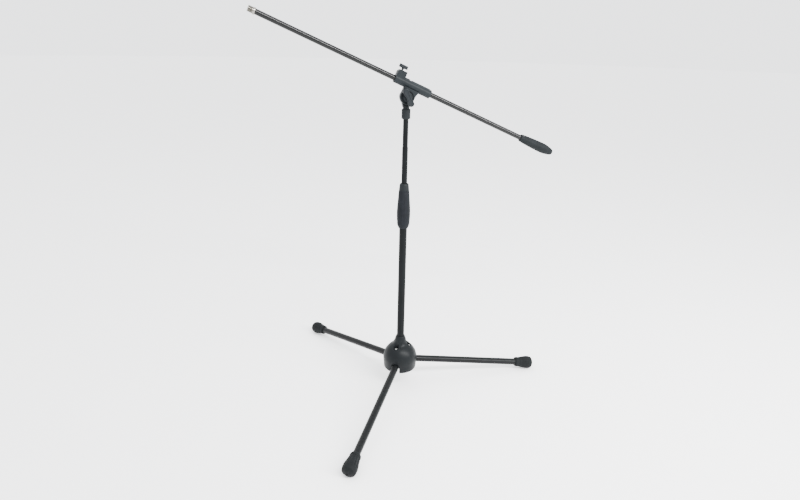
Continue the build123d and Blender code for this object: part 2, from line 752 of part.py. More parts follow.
def make_clamp():
    """Boom clamp: a pad on the tube, the screw that presses it and its cross handle."""
    pad_low = BOOM_OFFSET + BOOM_D / 2 + 0.1
    screw_low = pad_low + 4.0
    handle_low = BOOM_OFFSET + 31.0
    handle_high = BOOM_OFFSET + 40.2
    with BuildPart() as pad:
        with BuildSketch(clamp_plane(pad_low)):
            Circle(3.9)
        extrude(amount=3.9)
    finish(pad, "clamp_pad")

    with BuildPart() as screw:
        with BuildSketch(clamp_plane(screw_low)):
            Circle(CLAMP_SCREW_R)
        extrude(amount=handle_low + 6 - screw_low)
        chamfer(screw.edges().sort_by(Axis(TILT_PIVOT, BOOM_UP))[0], 0.5)
    finish(screw, "clamp_screw")

    with BuildPart() as handle:
        with BuildSketch(clamp_plane(handle_low)):
            SlotOverall(25.0, 10.5)
        extrude(amount=handle_high - handle_low)
        fillet(handle.edges().filter_by(lambda e: abs(e.tangent_at(0).dot(BOOM_UP)) < 0.1), 2.4)
        with BuildSketch(clamp_plane(handle_low - 3.2)):
            Circle(3.1)
        extrude(amount=5)
        with BuildSketch(clamp_plane(handle_low - 4)):
            Circle(CLAMP_SCREW_R + SEATED)
        extrude(amount=10.1, mode=Mode.SUBTRACT)
    finish(handle, "clamp_handle")


def make_boom():
    """Boom tube, the threaded adapter at its tip, and the weighted grip at its tail."""
    tube_r = BOOM_D / 2
    with BuildPart() as tube:
        with BuildSketch(boom_cross_plane(BOOM_TAIL)):
            Circle(tube_r)
            Circle(tube_r - BOOM_WALL, mode=Mode.SUBTRACT)
        extrude(amount=BOOM_TIP - BOOM_TAIL)
    finish(tube, "boom_tube")

    flange = 4.9
    thread_end = BOOM_TIP + flange + ADAPTER_THREAD_LENGTH
    with BuildPart() as adapter:
        with BuildSketch(boom_cross_plane(BOOM_TIP - 24)):
            Circle(tube_r - BOOM_WALL - SEATED)
        extrude(amount=25)
        with BuildSketch(boom_cross_plane(BOOM_TIP)):
            Circle(ADAPTER_FLANGE_R)
        extrude(amount=flange)
        chamfer(rims(adapter, ADAPTER_FLANGE_R - 0.1), 0.7)
        with BuildSketch(boom_cross_plane(BOOM_TIP + flange)):
            Circle(ADAPTER_THREAD_R)
        extrude(amount=ADAPTER_THREAD_LENGTH)
        chamfer(adapter.edges().sort_by(Axis(TILT_PIVOT, BOOM_DIR))[-1], 1.0)
        with BuildSketch(boom_cross_plane(thread_end - 9)):
            Circle(4.8)
        extrude(amount=10, mode=Mode.SUBTRACT)
    finish(adapter, "thread_adapter")

    weight_start = BOOM_GRIP_START - 20
    weight_end = BOOM_GRIP_END + 13
    weight_r = 10.2
    with BuildPart() as weight:
        with BuildSketch(boom_cross_plane(weight_end)):
            Circle(weight_r)
        extrude(amount=weight_start - weight_end)
        with BuildSketch(boom_cross_plane(BOOM_TAIL - 0.1)):
            Circle(tube_r + SEATED)
        extrude(amount=weight_start + 1 - BOOM_TAIL, mode=Mode.SUBTRACT)
    finish(weight, "counterweight")

    base = BOOM_OFFSET
    with BuildPart() as grip:
        with BuildSketch(boom_side_plane()):
            with BuildLine():
                Polyline(
                    (BOOM_GRIP_START, base),
                    (BOOM_GRIP_START, base + 9.2),
                    (BOOM_GRIP_START - 1.5, base + 10.3),
                    (BOOM_GRIP_START - 15, base + 12.0),
                )
                ThreePointArc(
                    (BOOM_GRIP_START - 15, base + 12.0),
                    (BOOM_GRIP_START - 46, base + 13.9),
                    (BOOM_GRIP_START - 76, base + BOOM_GRIP_R),
                )
                ThreePointArc(
                    (BOOM_GRIP_START - 76, base + BOOM_GRIP_R),
                    (BOOM_GRIP_START - 96, base + 12.6),
                    (BOOM_GRIP_END + 4.5, base + 8.6),
                )
                ThreePointArc(
                    (BOOM_GRIP_END + 4.5, base + 8.6),
                    (BOOM_GRIP_END + 1.3, base + 6.2),
                    (BOOM_GRIP_END, base + 3.0),
                )
                Line((BOOM_GRIP_END, base + 3.0), (BOOM_GRIP_END, base))
                Line((BOOM_GRIP_END, base), (BOOM_GRIP_START, base))
            make_face()
        revolve(axis=Axis(BOOM_AXIS_POINT, BOOM_DIR))
        with BuildSketch(boom_cross_plane(weight_end - 0.1)):
            Circle(weight_r + SEATED)
        extrude(amount=weight_start - weight_end + 0.2, mode=Mode.SUBTRACT)
        with BuildSketch(boom_cross_plane(weight_start - 1)):
            Circle(tube_r + SEATED)
        extrude(amount=30, mode=Mode.SUBTRACT)
    finish(grip, "boom_grip")


for leg_number, leg_azimuth in enumerate(LEG_AZIMUTHS, start=1):
    make_leg(leg_number, leg_azimuth)
make_hub_dome()
make_hub_carrier()
make_hub_screws()
make_base_fastening()
make_mast()
make_clutch()
make_swivel_base()
make_tilt_knob()
make_boom_holder()
make_clamp()
make_boom()
print(f"leg pivot height {PIVOT_Z:.2f} mm, tilt pivot height {PIVOT_TOP_Z:.1f} mm")
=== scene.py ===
"""Boom microphone stand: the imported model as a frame, with detailed pieces and materials."""
import json
from math import ceil, cos, pi, radians, sin, sqrt

import bmesh
import bpy
from mathutils import Matrix, Vector


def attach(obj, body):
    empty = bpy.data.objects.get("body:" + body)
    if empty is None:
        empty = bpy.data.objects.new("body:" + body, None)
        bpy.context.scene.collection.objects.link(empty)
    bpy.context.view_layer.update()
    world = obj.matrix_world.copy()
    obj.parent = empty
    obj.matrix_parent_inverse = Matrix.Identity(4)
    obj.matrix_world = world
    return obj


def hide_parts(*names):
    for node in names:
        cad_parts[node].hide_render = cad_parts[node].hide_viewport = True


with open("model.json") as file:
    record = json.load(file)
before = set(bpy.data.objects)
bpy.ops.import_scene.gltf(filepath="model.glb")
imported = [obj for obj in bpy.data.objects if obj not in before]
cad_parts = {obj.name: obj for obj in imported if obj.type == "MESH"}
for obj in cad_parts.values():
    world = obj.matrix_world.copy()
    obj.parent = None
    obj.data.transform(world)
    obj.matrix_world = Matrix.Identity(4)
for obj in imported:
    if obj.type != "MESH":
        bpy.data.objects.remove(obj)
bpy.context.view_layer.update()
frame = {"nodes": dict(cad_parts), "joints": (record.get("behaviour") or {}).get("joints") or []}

# Lengths in this file are millimetres, except where a name ends in _M or a light, camera or floor is placed.
MM = 0.001
UP = Vector((0, 0, 1))
joints = {j["name"]: j for j in frame["joints"]}
nodes = frame["nodes"]


# ---------------------------------------------------------------- places

def place(origin, axis, x_dir):
    """Matrix from local millimetres to the row frame, with local z along axis."""
    z = Vector(axis).normalized()
    x = Vector(x_dir)
    x = (x - z * x.dot(z)).normalized()
    turn = Matrix((x, z.cross(x), z)).transposed().to_4x4()
    return Matrix.Translation(Vector(origin)) @ turn @ Matrix.Scale(MM, 4)


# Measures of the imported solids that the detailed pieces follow.
LEG_SLOPE = radians(9.06)  # a leg's fall from the hub to its foot
BOOM_OFFSET = 31.3  # tilt axis to boom axis
CLAMP_AXIS = 39.5  # tilt axis to clamp screw, along the boom
KNOB_ANGLE = radians(115)  # lie of the wing knob's bar

MAST = place((0, 0, 0), UP, (1, 0, 0))
LEGS = []
for number in (1, 2, 3):
    fold = joints[f"leg_{number}_fold"]
    side = Vector(fold["axis"])
    along = side.cross(UP) * cos(LEG_SLOPE) - UP * sin(LEG_SLOPE)
    LEGS.append(place(fold["pos_m"], along, side))

pivot = Vector(joints["boom_tilt"]["pos_m"])
boom_dir = Vector(joints["boom_slide"]["axis"]).normalized()
boom_up = Vector((0, 1, 0)).cross(boom_dir)
boom_axis = pivot + boom_up * BOOM_OFFSET * MM
BOOM = place(boom_axis, boom_dir, (0, -1, 0))
CLAMP = place(boom_axis + boom_dir * CLAMP_AXIS * MM, boom_up, boom_dir)
KNOB = place(pivot, (0, -1, 0), (cos(KNOB_ANGLE), 0, sin(KNOB_ANGLE)))


# ---------------------------------------------------------------- mesh tools

def skin(mesh, rings):
    """Join neighbouring rings of vertices with faces; a ring of one vertex closes the form."""
    for low, high in zip(rings, rings[1:]):
        count = max(len(low), len(high))
        for k in range(count):
            n = (k + 1) % count
            if len(low) == 1:
                mesh.faces.new((low[0], high[n], high[k]))
            elif len(high) == 1:
                mesh.faces.new((low[k], low[n], high[0]))
            else:
                mesh.faces.new((low[k], low[n], high[n], high[k]))


ON_AXIS = 1e-6
LONGEST_ROUNDING = 0.48  # the share of a run that a rounded corner may take
HALVINGS = 26  # steps of the search for an outline's edge


def lathe(mesh, profile, segments, shape=None):
    """Revolve (radius, height) points about local z; a radius of 0 closes the form on the axis."""
    rings = []
    for r, z in profile:
        if r < ON_AXIS:
            rings.append([mesh.verts.new((0, 0, z))])
            continue
        ring = []
        for k in range(segments):
            turn = 2 * pi * k / segments
            radius = shape(turn, z, r) if shape else r
            ring.append(mesh.verts.new((radius * cos(turn), radius * sin(turn), z)))
        rings.append(ring)
    if len(rings[0]) > 1:
        rings.append(rings[0])
    skin(mesh, rings)
    return mesh


def soften(points, steps=5):
    """Round each corner that is given a radius: (r, z) stays sharp, (r, z, radius) is rounded."""
    out = []
    for i, point in enumerate(points):
        if len(point) == 2 or i in (0, len(points) - 1):
            out.append(tuple(point[:2]))
            continue
        here = Vector(point[:2])
        before = Vector(points[i - 1][:2]) - here
        after = Vector(points[i + 1][:2]) - here
        cut = min(point[2], before.length * LONGEST_ROUNDING, after.length * LONGEST_ROUNDING)
        start = here + before.normalized() * cut
        end = here + after.normalized() * cut
        for k in range(steps + 1):
            t = k / steps
            p = start * (1 - t) ** 2 + here * 2 * t * (1 - t) + end * t ** 2
            out.append((p.x, p.y))
    return out


def finer(points, step):
    """Divide the runs of a profile so that none is longer than step."""
    out = [points[0]]
    for a, b in zip(points, points[1:]):
        length = sqrt((b[0] - a[0]) ** 2 + (b[1] - a[1]) ** 2)
        count = max(1, ceil(length / step))
        for k in range(1, count + 1):
            t = k / count
            out.append((a[0] + (b[0] - a[0]) * t, a[1] + (b[1] - a[1]) * t))
    return out


def stack(mesh, outline, layers, segments, bore):
    """Closed form from outline(turn, inset) and (height, inset) layers, with a blind (radius, end) bore."""
    def ring_at(z, shape):
        made = []
        for k in range(segments):
            turn = 2 * pi * k / segments
            x, y = shape(turn)
            made.append(mesh.verts.new((x, y, z)))
        return made

    bore_r, bore_end = bore
    rings = [[mesh.verts.new((0, 0, bore_end))]]
    for z in (bore_end, layers[0][0]):
        rings.append(ring_at(z, lambda turn: (bore_r * cos(turn), bore_r * sin(turn))))
    for z, inset in layers:
        rings.append(ring_at(z, lambda turn, inset=inset: outline(turn, inset)))
    rings.append([mesh.verts.new((0, 0, layers[-1][0]))])
    skin(mesh, rings)
    return mesh


def sweep(mesh, points, radii, segments):
    """Closed rod with a round section of changing radius along a smooth path."""
    rings = []
    for i, (point, radius) in enumerate(zip(points, radii)):
        ahead = (points[min(i + 1, len(points) - 1)] - points[max(i - 1, 0)]).normalized()
        side = ahead.cross(UP).normalized()
        top = side.cross(ahead)
        ring = []
        for k in range(segments):
            turn = 2 * pi * k / segments
            ring.append(mesh.verts.new(point + (side * cos(turn) + top * sin(turn)) * radius))
        rings.append(ring)
    skin(mesh, rings)
    mesh.faces.new(list(reversed(rings[0])))
    mesh.faces.new(rings[-1])
    return mesh


def reach(inside, turn, far):
    """Distance from the middle to an outline's edge, in the direction of turn."""
    low, high = 0.0, far
    for _ in range(HALVINGS):
        middle = (low + high) / 2
        if inside(middle * cos(turn), middle * sin(turn)):
            low = middle
        else:
            high = middle
    return low


def wave(value, low, high):
    """Smooth rise from 0 at low to 1 at high."""
    t = max(0.0, min(1.0, (value - low) / (high - low)))
    return t * t * (3 - 2 * t)


def piece(name, mesh, where, body, material, replaces=(), sharp=38):
    """Turn a mesh in local millimetres into a piece that rides on a body."""
    bmesh.ops.recalc_face_normals(mesh, faces=mesh.faces)
    mesh.transform(where)
    for face in mesh.faces:
        face.smooth = True
    for edge in mesh.edges:
        edge.smooth = len(edge.link_faces) != 2 or edge.calc_face_angle(0) < radians(sharp)
    data = bpy.data.meshes.new(name)
    mesh.to_mesh(data)
    mesh.free()
    data.materials.append(material)
    thing = bpy.data.objects.new(name, data)
    bpy.context.scene.collection.objects.link(thing)
    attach(thing, body)
    if replaces:
        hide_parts(*replaces)


def thread(pitch, depth, start, end):
    """Radius of a right-hand thread cut between two heights, fading out over its first and last turn."""
    steepness = 1.25  # above 1, so that the root of the groove has a flat

    def shape(turn, z, r):
        if z < start or z > end:
            return r
        phase = (z / pitch - turn / (2 * pi)) % 1.0
        groove = depth * min(1.0, steepness * abs(2 * phase - 1))
        ends = min(1.0, (z - start) / pitch, (end - z) / pitch)
        return r - groove * max(0.0, ends)
    return shape


# ---------------------------------------------------------------- material tools

MIX_FACTOR, MIX_A, MIX_B = 0, 6, 7  # the Mix node's colour sockets have no unique names
MIX_RESULT = 2
RAMP_FROM_LOW, RAMP_FROM_HIGH, RAMP_TO_LOW, RAMP_TO_HIGH = 1, 2, 3, 4


class Material:
    """A node material around one Principled shader."""

    def __init__(self, name, **sockets):
        self.material = bpy.data.materials.new(name)
        self.material.use_nodes = True
        self.tree = self.material.node_tree
        self.shader = self.tree.nodes["Principled BSDF"]
        for socket, value in sockets.items():
            self.shader.inputs[socket.replace("_", " ")].default_value = value
        self.coordinates = self.tree.nodes.new("ShaderNodeTexCoord").outputs["Object"]

    def node(self, kind, settings=None, **inputs):
        made = self.tree.nodes.new("ShaderNode" + kind)
        for key, value in (settings or {}).items():
            setattr(made, key, value)
        for key, value in inputs.items():
            socket = made.inputs[key.replace("_", " ")]
            if isinstance(value, bpy.types.NodeSocket):
                self.tree.links.new(value, socket)
            else:
                socket.default_value = value
        return made

    def noise(self, scale, detail=3.0, roughness=0.5, at=None):
        where = at or self.coordinates
        made = self.node("TexNoise", Vector=where, Scale=scale, Detail=detail, Roughness=roughness)
        return made.outputs["Fac"]

    def stretched(self, where, along):
        """Coordinates turned so that a piece's own axis is z, then squeezed along it."""
        turn = where.to_3x3().normalized().inverted().to_euler()
        turned = self.node("Mapping", Vector=self.coordinates, Rotation=turn).outputs["Vector"]
        return self.node("Mapping", Vector=turned, Scale=(1, 1, along)).outputs["Vector"]

    def ramp(self, value, low, high, out_low=0.0, out_high=1.0):
        made = self.node("MapRange", Value=value)
        made.inputs[RAMP_FROM_LOW].default_value = low
        made.inputs[RAMP_FROM_HIGH].default_value = high
        made.inputs[RAMP_TO_LOW].default_value = out_low
        made.inputs[RAMP_TO_HIGH].default_value = out_high
        return made.outputs[0]

    def mix(self, factor, a, b):
        made = self.node("Mix", {"data_type": "RGBA"})
        self.tree.links.new(factor, made.inputs[MIX_FACTOR])
        for index, value in ((MIX_A, a), (MIX_B, b)):
            if isinstance(value, bpy.types.NodeSocket):
                self.tree.links.new(value, made.inputs[index])
            else:
                made.inputs[index].default_value = (*value, 1)
        return made.outputs[MIX_RESULT]

    def bump(self, height, strength, distance, under=None):
        made = self.node("Bump", Height=height, Strength=strength, Distance=distance)
        if under:
            self.tree.links.new(under, made.inputs["Normal"])
        return made.outputs["Normal"]

    def edges(self, low, high):
        """1 on raised edges, 0 on faces and in hollows."""
        return self.ramp(self.node("NewGeometry").outputs["Pointiness"], low, high)

    def set(self, **sockets):
        for socket, value in sockets.items():
            self.tree.links.new(value, self.shader.inputs[socket.replace("_", " ")])
        return self.material


def tube_material(name, where, tint=(0.0045, 0.0049, 0.0052), shine=0.1, low=0.26, high=0.34):
    """Satin-gloss black coating with a faint orange peel and fine rub marks along the tube."""
    m = Material(name, Specular_IOR_Level=shine)
    cloud = m.noise(22, 4)
    marks = m.noise(900, 3, at=m.stretched(where, 0.012))
    rubbed = m.ramp(marks, 0.62, 0.8)
    dark = m.mix(m.ramp(cloud, 0.35, 0.7), [c * 0.8 for c in tint], [c * 1.2 for c in tint])
    colour = m.mix(rubbed, dark, [c * 1.7 for c in tint])
    rough = m.ramp(m.noise(140, 2), 0.3, 0.7, low, high)
    peel = m.bump(m.noise(420, 2), 0.03, 0.00004)
    scored = m.bump(marks, 0.01, 0.00002, under=peel)
    return m.set(Base_Color=colour, Roughness=rough, Normal=scored)


def plastic_material(name, tint, low=0.42, high=0.56):
    """Glass-filled nylon: fine spark-erosion grain, cloudy flow marks, and edges lightened by a painted
    highlight.
    """
    m = Material(name, Specular_IOR_Level=0.09)
    flow = m.ramp(m.noise(36, 5, 0.6), 0.3, 0.72)
    base = m.mix(flow, [c * 0.84 for c in tint], [c * 1.14 for c in tint])
    speck = m.ramp(m.noise(2600, 2), 0.66, 0.78)
    speckled = m.mix(speck, base, [c * 1.5 for c in tint])
    # Painted highlight: raised edges are lightened in the colour.
    colour = m.mix(m.edges(0.53, 0.66), speckled, [min(1, c * 1.9) for c in tint])
    rough = m.ramp(m.noise(420, 3), 0.3, 0.7, low, high)
    grain = m.bump(m.noise(1900, 4, 0.65), 0.22, 0.00018)
    waves = m.bump(m.noise(55, 2), 0.1, 0.0006, under=grain)
    return m.set(Base_Color=colour, Roughness=rough, Normal=waves)


def rubber_material(name, tint, where):
    """Moulded rubber: dull, slightly dusty, with a fine grain, scuff marks, and a painted highlight that
    lightens what stands proud.
    """
    m = Material(name, Specular_IOR_Level=0.08, Sheen_Weight=0.004, Sheen_Roughness=0.5)
    dust = m.ramp(m.noise(30, 6, 0.65), 0.42, 0.75)
    base = m.mix(dust, [c * 0.86 for c in tint], [c * 1.35 for c in tint])
    scuff = m.ramp(m.noise(700, 4, at=m.stretched(where, 0.2)), 0.6, 0.78)
    marked = m.mix(scuff, base, [c * 1.7 for c in tint])
    # Painted highlight: what stands proud, such as flute crests, is lightened in the colour.
    colour = m.mix(m.edges(0.52, 0.62), marked, [c * 2.0 for c in tint])
    rough = m.ramp(m.noise(300, 3), 0.3, 0.7, 0.56, 0.74)
    grain = m.bump(m.noise(1500, 3), 0.3, 0.00025)
    return m.set(Base_Color=colour, Roughness=rough, Normal=grain)


def metal_material(name, tint, where, low, high):
    """Turned or plated metal: brushed round its axis, with painted shade that makes it duller and darker in
    its hollows.
    """
    brushing = 20  # how much finer the grain is along the axis than round it
    m = Material(name, Metallic=1.0)
    grain = m.noise(1400, 3, at=m.stretched(where, brushing))
    stain = m.ramp(m.noise(90, 5, 0.6), 0.35, 0.75)
    base = m.mix(stain, tint, [c * 0.78 for c in tint])
    # Painted shade: pointiness darkens hollows such as thread grooves, standing in for shade that falls
    # there.
    hollow_shade = m.ramp(m.node("NewGeometry").outputs["Pointiness"], 0.5, 0.42)
    colour = m.mix(hollow_shade, base, [c * 0.35 for c in tint])
    rough = m.ramp(grain, 0.3, 0.7, low, high)
    brushed = m.bump(grain, 0.12, 0.00005)
    return m.set(Base_Color=colour, Roughness=rough, Normal=brushed)


# ---------------------------------------------------------------- materials

LEG_TUBES = [tube_material(f"leg {n} coating", where) for n, where in enumerate(LEGS, start=1)]
MAST_TUBE = tube_material("mast coating", MAST, (0.0040, 0.0046, 0.0050), 0.055)
BOOM_TUBE = tube_material("boom coating", BOOM, (0.0022, 0.0024, 0.0026), 0.22, 0.14, 0.18)
HUB_PLASTIC = plastic_material("hub plastic", (0.0044, 0.0054, 0.0061), 0.34, 0.44)
SWIVEL_PLASTIC = plastic_material("swivel plastic", (0.0066, 0.008, 0.009))
HOLDER_PLASTIC = plastic_material("clamp plastic", (0.0082, 0.0102, 0.0116), 0.38, 0.5)
DARK_PLASTIC = plastic_material("black plastic", (0.004, 0.0043, 0.0048), 0.36, 0.5)
KNOB_PLASTIC = plastic_material("knob plastic", (0.009, 0.0108, 0.0124))
CASTING = plastic_material("coated metal", (0.0045, 0.0048, 0.0052), 0.34, 0.5)
GRIP_RUBBER = rubber_material("clutch rubber", (0.0052, 0.006, 0.0076), MAST)
BOOM_RUBBER = rubber_material("boom rubber", (0.0064, 0.0077, 0.0086), BOOM)
FOOT_TINT = (0.0052, 0.006, 0.0065)
FOOT_RUBBERS = [rubber_material(f"foot {n} rubber", FOOT_TINT, LEGS[n - 1]) for n in (1, 2, 3)]
ZINC = metal_material("zinc plate", (0.60, 0.60, 0.58), MAST, 0.28, 0.46)
NICKEL = metal_material("nickel plate", (0.27, 0.258, 0.232), BOOM, 0.1, 0.2)
BRASS = metal_material("brass", (0.72, 0.53, 0.24), MAST, 0.25, 0.42)

finishes = {
    "hub_dome": HUB_PLASTIC,
    "hub_carrier": CASTING,
    "hub_screws": ZINC,
    "base_bolt": ZINC,
    "base_washer": ZINC,
    "tube_plug": ZINC,
    "lower_tube": MAST_TUBE,
    "upper_tube": MAST_TUBE,
    "top_rod": MAST_TUBE,
    "tube_guide": DARK_PLASTIC,
    "clutch_ferrule": DARK_PLASTIC,
    "clutch_collet": DARK_PLASTIC,
    "clutch_nut": SWIVEL_PLASTIC,
    "clutch_grip": GRIP_RUBBER,
    "swivel_base": SWIVEL_PLASTIC,
    "thread_insert": BRASS,
    "top_stud": ZINC,
    "tilt_bolt": ZINC,
    "friction_washer": DARK_PLASTIC,
    "knob_washer": ZINC,
    "tilt_knob": KNOB_PLASTIC,
    "knob_insert": BRASS,
    "boom_holder": HOLDER_PLASTIC,
    "boom_tube": BOOM_TUBE,
    "thread_adapter": NICKEL,
    "counterweight": ZINC,
    "boom_grip": BOOM_RUBBER,
    "clamp_pad": DARK_PLASTIC,
    "clamp_screw": CASTING,
    "clamp_handle": KNOB_PLASTIC,
}
for number in (1, 2, 3):
    finishes[f"leg_{number}_tube"] = LEG_TUBES[number - 1]
    finishes[f"leg_{number}_knuckle"] = DARK_PLASTIC
    finishes[f"leg_{number}_pin"] = ZINC
    finishes[f"leg_{number}_foot"] = FOOT_RUBBERS[number - 1]
for name, thing in nodes.items():
    thing.data.materials.clear()
    thing.data.materials.append(finishes[name])


# ---------------------------------------------------------------- detailed pieces

def make_foot(number):
    """Rubber foot: collar, neck groove, sixteen flutes on the flare, and a grooved end."""
    widest_r, widest_z = 20.3, 413
    collar_r, collar_end, bulge_start = 15.9, 385.2, 408
    flare_steps = 12
    flute_count, flute_depth = 16, 1.0
    bulge = []
    for z in range(bulge_start, 427, 2):
        off = z - widest_z
        bulge.append((widest_r - 0.0042 * off ** 2 - 0.0006 * max(0, off) ** 3, z))
    outer = soften([
        (10.55, 369.3), (11.9, 369.0, 0.3), (12.3, 369.5, 0.4), (14.0, 370.8, 0.8), (15.3, 373.0, 1.5),
        (15.5, 379.6, 0.8), (14.5, 380.8, 0.6), (14.6, 382.8, 0.6), (15.7, 384.2, 0.6),
        (collar_r, collar_end, 0.5),
    ])
    flare = []
    for k in range(1, flare_steps + 1):
        r = collar_r + (bulge[0][0] - collar_r) * k / flare_steps
        flare.append((r, collar_end + (bulge_start - collar_end) * k / flare_steps))
    crown = soften([
        bulge[-1], (17.0, 426.4, 0.4), (16.2, 426.8, 0.3), (16.2, 427.6, 0.3), (15.6, 427.9, 0.3),
        (12.0, 430.4, 1.0), (8.0, 432.2, 1.0), (4.0, 433.0, 0.5), (3.0, 432.2, 0.3), (2.9, 431.6),
    ])
    profile = [(0, 408.3), (10.55, 408.3)] + outer + flare + bulge[1:] + crown[1:] + [(0, 431.6)]

    def flutes(turn, z, radius):
        if radius < 12.5:
            return radius
        part = wave(z, 386.0, 390.0) * (1 - wave(z, 411.0, 416.5))
        return radius - flute_depth * part * (0.5 - 0.5 * cos(flute_count * turn)) ** 3

    mesh = lathe(bmesh.new(), finer(profile, 1.3), 192, flutes)
    piece(f"foot_{number}_rubber", mesh, LEGS[number - 1], f"leg_{number}", FOOT_RUBBERS[number - 1],
          replaces=[f"leg_{number}_foot"])


def make_boom_grip():
    """Weighted grip: a lip round the tube, long soft facets, and two grooves before its blunt end."""
    start, end = -356.7, -471.5
    neck_r, body_r, tail_drop = 11.9, 14.45, 5.85
    body_steps, tail_steps = 30, 18
    facet_count, facet_depth = 10, 0.42
    groove_depth, groove_half_width = 0.45, 0.7
    outer = [(7.3, start), (8.7, start, 0.3), (9.2, start - 0.5, 0.4), (10.2, start - 1.6, 0.8)]
    outer += [(neck_r, start - 15, 6)]
    body = []
    for k in range(1, body_steps + 1):
        z = start - 15 - (61 / body_steps) * k
        t = k / body_steps
        body.append((neck_r + (body_r - neck_r) * (1 - (1 - t) ** 1.6), z))
    tail = []
    for k in range(1, tail_steps + 1):
        z = start - 76 - (34.3 / tail_steps) * k
        t = k / tail_steps
        tail.append((body_r - tail_drop * t ** 1.9, z))
    blunt = [(8.5, end + 4.4), (7.6, end + 2.6), (6.2, end + 1.35), (4.6, end + 0.5), (3.0, end + 0.05)]
    profile = [(0, start - 20.0), (7.3, start - 20.0)] + soften(outer) + body + tail + blunt
    profile += [(0, end + 0.05)]

    def facets(turn, z, radius):
        if radius < 8.0:
            return radius
        along = wave(-z, 362.0, 374.0) * (1 - wave(-z, 446.0, 460.0))
        flute = facet_depth * along * (0.5 - 0.5 * cos(facet_count * turn)) ** 2
        grooves = 0.0
        for middle in (-361.4, -453.0, -456.2, -459.4):
            grooves += groove_depth * max(0.0, 1 - abs(z - middle) / groove_half_width)
        return radius - flute - grooves

    mesh = lathe(bmesh.new(), finer(profile, 0.7), 160, facets)
    piece("boom_grip_rubber", mesh, BOOM, "boom", BOOM_RUBBER, replaces=["boom_grip"])


SLEEVE_START = 520.5
BELLY_START = 538
TAPER_START = 592


def sleeve_radius(z):
    """Outer radius of the clutch's rubber sleeve at a height: a quick rise, a belly and a long taper."""
    if z < BELLY_START:
        return 13.0 + 5.35 * (1 - (1 - max(0.0, z - SLEEVE_START) / 17.5) ** 2.1)
    if z < TAPER_START:
        t = (z - BELLY_START) / (TAPER_START - BELLY_START)
        return 18.35 + 1.28 * sin(pi * t) - 0.15 * t
    return 18.2 - 3.3 * (z - TAPER_START) / 39.7


def make_clutch_grip():
    """Rubber sleeve of the clutch: grooved at both ends, with twelve shallow finger flutes between."""
    flute_count, flute_depth = 12, 0.45
    groove_depth, groove_half_width = 0.35, 0.8
    outer = [(11.75, 520.0), (12.7, 520.05)]
    for k in range(111):
        z = SLEEVE_START + 1.01 * k
        outer.append((sleeve_radius(z), z))
    inner = [(14.25, 631.85), (17.6, 570.0), (17.45, 546.0), (14.45, 524.95), (11.75, 524.9), (11.75, 520.0)]
    profile = finer(outer + inner, 1.0)

    def flutes(turn, z, radius):
        if radius < sleeve_radius(z) - 0.2 or z < 520.4:
            return radius
        along = wave(z, 531.0, 543.0) * (1 - wave(z, 598.0, 621.0))
        grooves = 0.0
        for middle in (526.0, 528.6, 624.5, 627.0):
            grooves += max(0.0, 1 - abs(z - middle) / groove_half_width)
        flute = flute_depth * along * (0.5 - 0.5 * cos(flute_count * turn)) ** 2
        return radius - flute - groove_depth * grooves

    mesh = lathe(bmesh.new(), profile[:-1], 144, flutes)
    piece("clutch_rubber_sleeve", mesh, MAST, "clutch", GRIP_RUBBER, replaces=["clutch_grip"])


def make_adapter():
    """Plated tip of the boom: a flange and a 5/8 inch thread with 27 turns to the inch."""
    tip = 428.7  # where the boom's tube ends
    crest_r, pitch, depth = 7.92, 0.9407, 0.55
    thread_start = tip + 6.1
    profile = soften([
        (0, tip - 24), (5.9, tip - 24, 0.3), (6.05, tip - 23, 0.3), (6.05, tip + 0.02),
        (8.3, tip + 0.02, 0.3),
        (8.85, tip + 0.6, 0.3), (8.85, tip + 4.2, 0.3), (8.3, tip + 4.85, 0.3), (7.2, tip + 4.9, 0.2),
        (7.2, tip + 5.7, 0.2), (crest_r, thread_start),
    ])
    threaded = [(crest_r, thread_start + 0.1176 * k) for k in range(1, 97)]
    thread_end = threaded[-1][1]
    nose = [(7.1, tip + 18.4), (6.4, tip + 18.5), (4.95, tip + 18.5), (4.8, tip + 18.3), (4.8, tip + 9.6)]
    nose += [(0, tip + 9.4)]
    cut = thread(pitch, depth, thread_start, thread_end)
    mesh = lathe(bmesh.new(), profile + threaded + nose, 120, cut)
    piece("threaded_tip", mesh, BOOM, "boom", NICKEL, replaces=["thread_adapter"])


